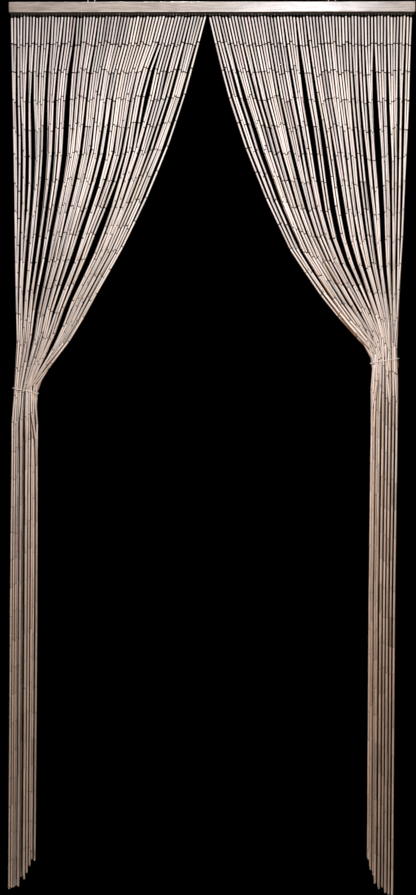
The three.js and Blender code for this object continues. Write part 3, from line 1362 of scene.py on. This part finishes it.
def frames_along(axes: np.ndarray, turns: np.ndarray) -> np.ndarray:
    """Frames whose Z points up along each axis.

    Args:
        axes: unit vectors that point down.
        turns: a turn about the axis for each, in radians.

    Returns:
        3 by 3 matrices with the axes in their columns.
    """
    up = -axes
    aside = np.cross(up, np.array([0.0, 1.0, 0.0]))
    aside /= np.linalg.norm(aside, axis=1, keepdims=True)
    ahead = np.cross(up, aside)
    cos, sin = np.cos(turns)[:, None], np.sin(turns)[:, None]
    x = aside * cos + ahead * sin
    y = np.cross(up, x)
    return np.stack([x, y, up], axis=2)


@dataclass(frozen=True)
class TubeShape:
    """A bamboo tube with a through bore and softened ends. Its middle part is stretched to length.

    marks are V on the UV map of the outline's points, and flat_rows are the cut ends. tall is how many
    times taller than wide the unwrapped skin is.
    """

    radius: float = 2.0
    bore: float = 1.1
    soft: float = 0.09
    soft_length: float = 0.8
    sides: int = 8
    stub: float = 2.0
    marks: tuple[float, ...] = (0, 0.04, 0.07, 0.9, 0.93, 0.97, 1)
    flat_rows: tuple[int, ...] = (0, 4)
    tall: float = 4.6

    def stamp(self) -> Stamp:
        """Makes the stamp, a short stub that lengths are added to."""
        half = self.stub / 2
        outline = [
            (self.bore, -half),
            (self.radius - self.soft, -half),
            (self.radius, -half + self.soft_length),
            (self.radius, half - self.soft_length),
            (self.radius - self.soft, half),
            (self.bore, half),
            (self.bore, -half),
        ]
        turn = 2 * math.pi / self.sides

        def place(i: int, j: int) -> Sequence[float]:
            """The outline's point j, turned to side i."""
            r, z = outline[j]
            return r * math.cos(i * turn), r * math.sin(i * turn), z

        bm = wrapped(self.sides, self.marks, place, lambda row: row not in self.flat_rows)
        edge = (self.bore + self.radius) / 2
        return Stamp(bm, lambda co: math.hypot(co.x, co.y) < edge, self.tall)


@dataclass(frozen=True)
class RingShape:
    """A small closed eye of wire, standing upright with Z in its plane."""

    wire: float = 0.6
    across: float = 2.3
    steps: int = 8
    sides: int = 3
    tall: float = 0.3

    def stamp(self) -> Stamp:
        """Makes the stamp, centred on the eye."""
        centre = (self.across - self.wire) / 2

        def place(i: int, j: int) -> Sequence[float]:
            """Point j round the wire, at step i round the eye."""
            a, b = 2 * math.pi * i / self.steps, 2 * math.pi * j / self.sides
            out = centre + self.wire / 2 * math.cos(b)
            return out * math.sin(a), self.wire / 2 * math.sin(b), out * math.cos(a)

        marks = [j / self.sides for j in range(self.sides + 1)]
        return Stamp(wrapped(self.steps, marks, place), lambda co: False, self.tall)

    @property
    def link(self) -> float:
        """How far the middles of two interlocked eyes are apart."""
        return self.across - 2 * self.wire


def smooth_path(points: Sequence[Sequence[float]], step: float, fine: int = 12) -> np.ndarray:
    """A Catmull-Rom curve through points, sampled evenly.

    Args:
        points: the points.
        step: the distance between samples.
        fine: into how many parts the curve is cut between two points before it is measured.

    Returns:
        The samples.
    """
    given = np.array(points, float)
    ends = np.concatenate([2 * given[:1] - given[1:2], given, 2 * given[-1:] - given[-2:-1]])
    t = np.linspace(0, 1, fine, endpoint=False)[:, None]
    found = []
    for a, b, c, d in zip(ends, ends[1:], ends[2:], ends[3:]):
        square, cube = 2 * a - 5 * b + 4 * c - d, 3 * b - a - 3 * c + d
        found.append(0.5 * (2 * b + (c - a) * t + square * t**2 + cube * t**3))
    dense = np.concatenate([*found, given[-1:]])
    run = np.concatenate([[0], np.cumsum(np.linalg.norm(np.diff(dense, axis=0), axis=1))])
    at = np.linspace(0, run[-1], max(2, round(run[-1] / step)) + 1)
    return np.stack([np.interp(at, run, dense[:, i]) for i in range(3)], axis=1)


def swept(name: str, path: np.ndarray, radius: float, sides: int, closed: bool = False) -> bpy.types.Object:
    """A round bar along a path.

    Args:
        name: the object's name.
        path: the path's points, in millimetres.
        radius: the bar's radius.
        sides: the number of faces round it.
        closed: whether the path's last point is its first, so that the bar has no ends.

    Returns:
        The object, with U round it and V along it, in millimetres, on its thread_uv map.
    """
    ahead = np.gradient(path, axis=0)
    if closed:
        ahead[0] = ahead[-1] = path[1] - path[-2]
    ahead /= np.linalg.norm(ahead, axis=1, keepdims=True)
    start = np.cross(ahead[0], OFF_AXIS)
    asides = [start / np.linalg.norm(start)]
    for direction in ahead[1:]:
        aside = asides[-1] - direction * (asides[-1] @ direction)
        asides.append(aside / np.linalg.norm(aside))
    extra = 0.0
    if closed:
        other = np.cross(ahead[0], asides[0])
        extra = -math.atan2(asides[-1] @ other, asides[-1] @ asides[0])
    last = len(path) - 1

    def place(i: int, j: int) -> Sequence[float]:
        """Point i round the bar, at the path's point j."""
        angle = 2 * math.pi * i / sides + extra * j / last
        aside = asides[j] * math.cos(angle) + np.cross(ahead[j], asides[j]) * math.sin(angle)
        return tuple(path[j] + aside * radius)

    run = [0.0, *np.cumsum(np.linalg.norm(np.diff(path, axis=0), axis=1))]
    bm = wrapped(sides, run, place)
    if not closed:
        bmesh.ops.holes_fill(bm, edges=[e for e in bm.edges if e.is_boundary])
    bmesh.ops.recalc_face_normals(bm, faces=bm.faces)
    made = finished(name, bm)
    made.data.uv_layers["wrap"].name = "thread_uv"
    return made


# The pieces


def dressed(piece: bpy.types.Object, slot: Slot, material: bpy.types.Material,
            *replaced: str) -> bpy.types.Object:
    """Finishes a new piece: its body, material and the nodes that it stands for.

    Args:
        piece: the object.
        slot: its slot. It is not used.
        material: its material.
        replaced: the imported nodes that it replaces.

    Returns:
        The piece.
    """
    piece.data.materials.clear()
    piece.data.materials.append(material)
    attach(piece, BODY)
    if replaced:
        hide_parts(*replaced)
    log.info("%s: %d faces", piece.name, len(piece.data.polygons))
    return piece


@dataclass
class CurtainHalf:
    """One half of the curtain: tubes, links, staples and end eyes on settled strands.

    The tones and dirt are drawn from beta distributions, given by their two numbers. A tube's lightness
    and hue are its own but for the share alike, which is its strand's.

    staple_depth and staple_lap set how far a staple goes up into the wood and down into the first
    link. end_eye is how far above the last joint the eye at a strand's foot begins. The turns are how
    far eyes stand from square, in radians. bare_shorter is how much shorter the bare wire is than a
    tube, and bare_run how far down it its points are and how far aside. Its hook turns by hook_turn.
    """

    half: Half
    hanging: Hanging = field(default_factory=Hanging)
    tube: TubeShape = field(default_factory=TubeShape)
    ring: RingShape = field(default_factory=RingShape)
    seed_step: int = 100
    tube_tone: tuple[float, float] = (1.7, 1.7)
    strand_tone: tuple[float, float] = (1.5, 1.5)
    dirt: tuple[float, float] = (1.3, 2.6)
    alike: float = 0.4
    out_of_round: float = 0.035
    staple_depth: float = 1.6
    staple_lap: float = 0.2
    staple_turn: float = 0.4
    link_turn: float = 0.5
    end_eye: float = 1.2
    bare_shorter: float = 14.0
    bare_run: tuple[tuple[float, float], ...] = ((0.6, 0.0), (16.0, 0.5), (32.0, 0.2))
    bare_aside: float = 0.15
    bare_sides: int = 6
    hook_radius: float = 2.2
    hook_turn: float = 1.25 * math.pi
    hook_points: int = 8
    strands: Strands = field(init=False)

    def __post_init__(self) -> None:
        """Hangs the strands."""
        self.strands = self.hanging.settle(self.half)
        self.rng = np.random.default_rng(self.half.seed + self.seed_step)

    def _name(self, part: str) -> str:
        """A piece's name with the half's side."""
        return f"{part}_{self.half.side.label}"

    def tubes(self, material: bpy.types.Material) -> bpy.types.Object:
        """Makes every bamboo tube of the half as one joined mesh.

        Args:
            material: the bamboo.

        Returns:
            The piece.
        """
        s = self.strands
        kept = np.ones(s.radii.shape, bool)
        if self.half.bare is not None:
            kept[self.half.bare, -1] = False
        top, foot = s.joints[:, :-1][kept], s.joints[:, 1:][kept]
        count = len(top)
        frames = frames_along(s.axes[kept], self.rng.uniform(0, 2 * math.pi, count))
        frames[:, :, :2] *= (s.radii[kept] / self.tube.radius)[:, None, None]
        frames[:, :, :2] *= self.rng.uniform(1 - self.out_of_round, 1 + self.out_of_round, (count, 1, 2))
        lengths = s.lengths[kept] - self.tube.stub
        tones = self._tones(s.radii.shape)[kept]
        piece = self.tube.stamp().lay(self._name("tubes"), frames, (top + foot) / 2, tones, lengths)
        return dressed(piece, Slot.BAMBOO, material, self._name("curtain"))

    def _tones(self, shape: tuple[int, int]) -> np.ndarray:
        """Lightness, hue and dirt of every tube, a little alike down a strand.

        Args:
            shape: the number of strands and of tubes in each.

        Returns:
            Three numbers from 0 to 1 for each tube.
        """
        count, tubes = shape
        own = self.rng.beta(*self.tube_tone, (count, tubes, 3))
        shared = self.rng.beta(*self.strand_tone, (count, 1, 3))
        mixed = (1 - self.alike) * own + self.alike * shared
        mixed[..., 2] = self.rng.beta(*self.dirt, (count, tubes))
        return mixed

    def links(self, material: bpy.types.Material) -> bpy.types.Object:
        """Makes the wire eyes: two at each joint, and one at each strand's top and foot.

        Args:
            material: the wire.

        Returns:
            The piece.
        """
        s = self.strands
        axes = s.axes
        apart = self.ring.link / 2
        lower = s.joints[:, :-1] + axes * apart
        upper = s.joints[:, 1:] - axes * apart
        upper[:, -1] = s.joints[:, -1] + axes[:, -1] * (self.ring.across / 2 - self.end_eye)
        origins = np.concatenate([lower.reshape(-1, 3), upper.reshape(-1, 3)])
        count = axes.shape[0] * axes.shape[1]
        lean = self.rng.uniform(-self.link_turn, self.link_turn, count)
        turns = np.concatenate([lean, lean + math.pi / 2])
        both = np.concatenate([axes.reshape(-1, 3)] * 2)
        tones = self.rng.uniform(0, 1, (len(origins), 3))
        piece = self.ring.stamp().lay(self._name("links"), frames_along(both, turns), origins, tones)
        return dressed(piece, Slot.WIRE, material)

    def staples(self, material: bpy.types.Material) -> bpy.types.Object:
        """Makes the long wire eyes that go up into the rail, one above each strand.

        Args:
            material: the wire.

        Returns:
            The piece.
        """
        first = self.strands.joints[:, 0]
        ring = self.ring
        low = first[:, 2] - ring.link / 2 + ring.across / 2 - ring.wire + self.staple_lap
        high = np.full(len(first), RAIL.underside + self.staple_depth)
        origins = np.stack([first[:, 0], first[:, 1], (low + high) / 2], axis=1)
        lengths = high - low - ring.across + ring.link
        down = np.tile((0.0, 0.0, -1.0), (len(first), 1))
        turns = self.rng.uniform(-self.staple_turn, self.staple_turn, len(first)) + math.pi / 2
        tones = self.rng.uniform(0, 1, (len(first), 3))
        frames = frames_along(down, turns)
        piece = ring.stamp().lay(self._name("staples"), frames, origins, tones, lengths)
        return dressed(piece, Slot.WIRE, material)

    def bare_wire(self, material: bpy.types.Material) -> bpy.types.Object:
        """Makes the wire that is left, with its hooked end, where a strand's last tube is missing.

        Args:
            material: the wire.

        Returns:
            The piece.
        """
        top, foot = self.strands.joints[self.half.bare, -2:]
        down = (foot - top) / np.linalg.norm(foot - top)
        aside = np.array([float(self.half.side.value), self.bare_aside, 0.0])
        foot = foot - down * self.bare_shorter
        r = self.hook_radius
        hook = [foot + aside * r * (1 - math.cos(a)) + down * r * math.sin(a)
                for a in np.linspace(0, self.hook_turn, self.hook_points)]
        run = [top + down * far + aside * out for far, out in self.bare_run]
        path = smooth_path([*run, *hook], 1.0)
        piece = swept(self._name("bare_wire"), path, self.ring.wire / 2, self.bare_sides)
        return dressed(piece, Slot.WIRE, material)

    def gathered(self) -> None:
        length = sum(self.hanging.pitches) * MM


@dataclass(frozen=True)
class TieShape:
    """A thread tied round a waist, with its knot at the outer back corner.

    corner is the radius of its corners, and slant is how much higher it is at the outer side. knot is
    about the knot's radius, which knot_more makes large enough to hold the thread. ends are the points
    of a free end from its tip up, as shares of end_spread to the side and of the length end down.
    """

    thread: float = 1.2
    clearance: float = 1.1
    corner: float = 8.0
    steps: int = 4
    slant: float = 11.0
    knot: float = 2.0
    spread: float = 0.7
    end: float = 20.0
    end_spread: float = 1.5
    ends: tuple[tuple[float, float], ...] = ((1, 1), (1, 0.6), (0.8, 0.25))
    step: float = 1.1
    sides: int = 10
    knot_more: float = 0.4
    knot_steps: int = 48
    knot_sides: int = 8

    def make(self, half: Half, material: bpy.types.Material) -> None:
        """Args:
            half: the half that it ties.
            material: the thread.
        """
        waist = half.waist
        outward = half.side.value
        centre = ((waist.outer + waist.inner) / 2, (waist.front + waist.back) / 2)
        around = self.clearance + self.thread / 2
        wide = abs(waist.outer - waist.inner) / 2 + around
        deep = (waist.back - waist.front) / 2 + around

        def place(u: float, v: float) -> np.ndarray:
            """A point on the thread's slanted plane, with u outward and v to the back."""
            z = RAIL.underside - waist.drop + self.slant * u / (2 * wide)
            return np.array([centre[0] + outward * u, centre[1] + v, z])

        u, v = wide - self.corner, deep - self.corner
        arcs = [(u, v, 0.5, 1), (-u, v, 1, 2), (-u, -v, 2, 3), (u, -v, 3, 4), (u, v, 0, 0.5)]
        ring = []
        for cu, cv, start, stop in arcs:
            for turn in np.linspace(start, stop, self.steps + 1):
                angle = turn * math.pi / 2
                ring.append(place(cu + self.corner * math.cos(angle), cv + self.corner * math.sin(angle)))
        reach = (self.corner + self.knot - self.thread / 2) * math.sqrt(0.5)
        knot = place(u + reach, v + reach)

        def free_end(way: int) -> list[np.ndarray]:
            """A free end, from its tip up to the knot."""
            tips = [knot + (outward * way * a * self.end_spread, -way * a * self.end_spread, -b * self.end)
                    for a, b in self.ends]
            near = knot + (outward * way * self.spread, -way * self.spread, -self.spread)
            return [*tips, near]

        path = smooth_path([*free_end(-1), *ring, *reversed(free_end(1))], self.step)
        label = half.side.label
        thread = swept(f"tie_thread_{label}", path, self.thread / 2, self.sides)
        dressed(thread, Slot.THREAD, material, f"tie_{label}")
        # The knot is a trefoil, which reaches about three times its size from its middle.
        t = np.linspace(0, 2 * math.pi, self.knot_steps + 1)
        size = (self.knot + self.knot_more - self.thread / 2) / 3
        trefoil = np.stack([
            np.sin(t) + 2 * np.sin(2 * t),
            1.2 * np.cos(t) - 1.6 * np.cos(2 * t),
            -1.4 * np.sin(3 * t),
        ], axis=1)
        turns = knot + size * trefoil
        ball = swept(f"tie_knot_{label}", turns, self.thread / 2, self.knot_sides, closed=True)
        dressed(ball, Slot.THREAD, material)


@dataclass(frozen=True)
class LoopShape:
    """A wire loop that stands in the rail's top, by which it hangs.

    legs is the distance between its legs, rise how high they are and deep how far they go into the wood.
    """

    spacing: float = 534.0
    legs: float = 15.0
    wire: float = 2.0
    rise: float = 11.0
    deep: float = 8.0
    step: float = 1.0
    sides: int = 12
    arch_points: int = 13

    def make(self, side: Side, material: bpy.types.Material) -> None:
        """Makes the loop.

        Args:
            side: its end of the rail.
            material: the wire.
        """
        x = side.value * self.spacing / 2
        top, half = RAIL.height / 2, self.legs / 2
        leg = [top - self.deep, top - self.deep / 2, top, top + self.rise / 2]
        arch = [(x + half * math.cos(a), top + self.rise + half * math.sin(a))
                for a in np.linspace(0, math.pi, self.arch_points)]
        outline = [*((x + half, z) for z in leg), *arch, *((x - half, z) for z in reversed(leg))]
        path = smooth_path([(u, RAIL.middle, z) for u, z in outline], self.step)
        loop = swept(f"hanging_loop_{side.label}", path, self.wire / 2, self.sides)
        dressed(loop, Slot.WIRE, material, f"hanger_{side.label}")


@dataclass(frozen=True)
class Batten:
    """The rail: a sawn batten with softened, slightly uneven edges and a chip low at its left end.

    The unevenness reaches uneven_reach inwards from the front, top and underside, and the chip
    chip_reach inwards from the front. A face whose normal is along an axis by more than square is flat.
    """

    soft: float = 1.5
    pieces: int = 90
    uneven: float = 0.16
    uneven_reach: float = 3.0
    chip: float = 3.2
    chip_length: float = 7.0
    chip_reach: float = 4.0
    square: float = 0.995

    def make(self, material: bpy.types.Material) -> None:
        """Makes the batten.

        Args:
            material: the wood.
        """
        bm = bmesh.new()
        bmesh.ops.create_cube(bm, size=1.0)
        bmesh.ops.scale(bm, verts=bm.verts, vec=(RAIL.length, RAIL.depth, RAIL.height))
        bmesh.ops.translate(bm, verts=bm.verts, vec=(0, RAIL.middle, 0))
        bmesh.ops.bevel(bm, geom=bm.edges[:], offset=self.soft, segments=3, profile=0.5,
                        affect="EDGES", material=-1)
        for i in range(1, self.pieces):
            x = RAIL.length * (i / self.pieces - 0.5)
            bmesh.ops.bisect_plane(bm, geom=bm.verts[:] + bm.edges[:] + bm.faces[:], dist=SAME_POINT,
                                   plane_co=(x, 0, 0), plane_no=(1, 0, 0))
        for vert in bm.verts:
            x, y, z = vert.co
            long, short = math.sin(0.011 * x + 0.4), 0.6 * math.sin(0.037 * x + y)
            wave = long + short + 0.4 * math.sin(0.11 * x + 2 * z)
            if y < -RAIL.depth + self.uneven_reach:
                vert.co.y += self.uneven * wave
            if abs(z) > RAIL.height / 2 - self.uneven_reach:
                vert.co.z += self.uneven * (wave - 1) * (0.6 if z > 0 else -0.6)
            near = 1 - (x + RAIL.length / 2) / self.chip_length
            if near > 0 and z < 0 and y < -RAIL.depth + self.chip_reach:
                vert.co.z += self.chip * near * (0.6 + 0.4 * math.sin(3 * x))
                vert.co.y += 0.5 * self.chip * near
        bmesh.ops.recalc_face_normals(bm, faces=bm.faces)
        for face in bm.faces:
            face.smooth = max(abs(c) for c in face.normal) < self.square
        dressed(finished("batten", bm), Slot.RAIL_WOOD, material, "rail")


# Stage


@dataclass(frozen=True)
class Lamp:
    """A soft round area light. Places and size are in metres, power in watts and spread in degrees."""

    name: str
    place: tuple[float, float, float]
    target: tuple[float, float, float]
    size: float
    power: float
    colour: Colour
    spread: float = 180.0

    def make(self) -> None:
        """Adds the light, unseen by the camera."""
        data = bpy.data.lights.new(self.name, "AREA")
        data.spread = math.radians(self.spread)
        data.shape = "DISK"
        data.size = self.size
        data.energy = self.power
        data.color = self.colour
        lamp = bpy.data.objects.new(self.name, data)
        lamp.location = self.place
        aim = Vector(self.target) - Vector(self.place)
        lamp.rotation_euler = aim.to_track_quat("-Z", "Y").to_euler()
        lamp.visible_camera = False
        bpy.context.scene.collection.objects.link(lamp)


@dataclass(frozen=True)
class Stage:
    """Floor, lights, world and camera. Places and sizes are in metres, and angles in degrees.

    The camera looks from its distance at a place aim_x, aim_y and eye_height, turned by yaw. view_width
    is what it sees there from side to side in a picture of the photograph's shape.
    """

    distance: float = 2.8
    yaw: float = 1.35
    roll: float = 0.37
    eye_height: float = -0.975
    aim_x: float = -0.0009
    aim_y: float = -0.015
    view_width: float = 0.9222
    sensor: float = 36.0
    floor_level: float = -2.12
    floor_front: float = -1.7
    floor_back: float = 0.3
    floor_side: float = 1.1
    floor_colour: Colour = (0.62, 0.6, 0.57)
    floor_roughness: float = 0.85
    fill: float = 0.012
    fill_colour: Colour = (1.0, 0.7, 0.45)
    lights: tuple[Lamp, ...] = (
        Lamp("key", (0.09, -1.2, -0.2), (0.01, 0.0, -0.3), 0.1, 28.0, (0.93, 0.96, 1.05)),
        Lamp("waist light", (0.1, -1.2, -0.82), (0.06, 0.0, -1.03), 0.1, 0.33, (1.0, 0.96, 0.9), 48),
        Lamp("rail light", (0.29, -1.42, 0.48), (0.18, 0.0, 0.0), 0.2, 9.5, (0.92, 1.0, 1.08)),
        Lamp("warm fill", (0.29, -1.3, -1.1), (-0.03, 0.0, -1.12), 0.4, 7.2, (1.0, 0.43, 0.05)),
        Lamp("back light", (-0.3, 1.8, 1.6), (0.0, 0.0, -0.7), 0.5, 20.0, (1.0, 0.95, 0.9), 60),
    )

    def camera(self) -> None:
        """Adds the camera at the photograph's angle."""
        data = bpy.data.cameras.new("camera")
        data.sensor_fit = "AUTO"
        data.sensor_width = self.sensor
        view_height = self.view_width * PHOTO_HEIGHT / PHOTO_WIDTH
        data.lens = self.sensor * self.distance / view_height
        data.clip_start = 0.05
        data.clip_end = 50
        eye = bpy.data.objects.new("camera", data)
        yaw = math.radians(self.yaw)
        away = Vector((math.sin(yaw), -math.cos(yaw), 0)) * self.distance
        eye.location = Vector((self.aim_x, self.aim_y, self.eye_height)) + away
        roll = Matrix.Rotation(math.radians(self.roll), 4, "Z")
        eye.rotation_euler = (Euler((math.pi / 2, 0, yaw)).to_matrix().to_4x4() @ roll).to_euler()
        bpy.context.scene.collection.objects.link(eye)
        bpy.context.scene.camera = eye

    def floor(self) -> None:
        """Adds the plain pale floor, well below the strands."""
        bm = bmesh.new()
        bmesh.ops.create_grid(bm, x_segments=8, y_segments=8, size=1.0)
        depth = (self.floor_back - self.floor_front) / 2
        middle = (self.floor_back + self.floor_front) / 2
        bmesh.ops.scale(bm, verts=bm.verts, vec=(self.floor_side, depth, 1))
        bmesh.ops.translate(bm, verts=bm.verts, vec=(0, middle, self.floor_level))
        mesh = bpy.data.meshes.new("floor")
        bm.to_mesh(mesh)
        bm.free()
        material, r = fresh_material("floor")
        r.surface(Base_Color=self.floor_colour, Roughness=self.floor_roughness)
        mesh.materials.append(material)
        linked("floor", mesh)

    def world(self) -> None:
        """Gives a faint warm fill, and shows the camera black."""
        world = bpy.data.worlds.new("world")
        bpy.context.scene.world = world
        world.use_nodes = True
        r = Recipe(world.node_tree)
        fill = r.node("ShaderNodeBackground", None, {"Color": self.fill_colour, "Strength": self.fill})
        dark = r.node("ShaderNodeBackground", None, {"Color": (0.0, 0.0, 0.0), "Strength": 0.0})
        ray = r.node("ShaderNodeLightPath")
        sockets = {0: ray.outputs["Is Camera Ray"], 1: fill.outputs[0], 2: dark.outputs[0]}
        both = r.node("ShaderNodeMixShader", None, sockets)
        r.node("ShaderNodeOutputWorld", None, {"Surface": both.outputs[0]})

    def make(self) -> None:
        """Adds it all."""
        self.camera()
        self.floor()
        self.world()
        for lamp in self.lights:
            lamp.make()
        view = bpy.context.scene.view_settings
        view.view_transform = "Standard"
        view.look = "None"
        view.exposure = 0.0


def main() -> None:
    logging.basicConfig(level=logging.INFO, format="%(message)s")
    Stage().make()
    bamboo = BambooFinish().material()
    wood = WoodFinish().material()
    wire = WireFinish("loop wire").material()
    links = WireFinish("link wire", bright=(0.34, 0.31, 0.28), tarnish=(0.13, 0.11, 0.09)).material()
    thread = ThreadFinish().material()
    for half in (LEFT, RIGHT):
        TieShape().make(half, thread)
        LoopShape().make(half.side, wire)
    Batten().make(wood)
    for half in (LEFT, RIGHT):
        maker = CurtainHalf(half)
        tubes = maker.tubes(bamboo)
        others = [maker.links(links), maker.staples(links)]
        if half.bare is not None:
            others.append(maker.bare_wire(links))
        maker.gathered()


if __name__ == "__main__":
    main()
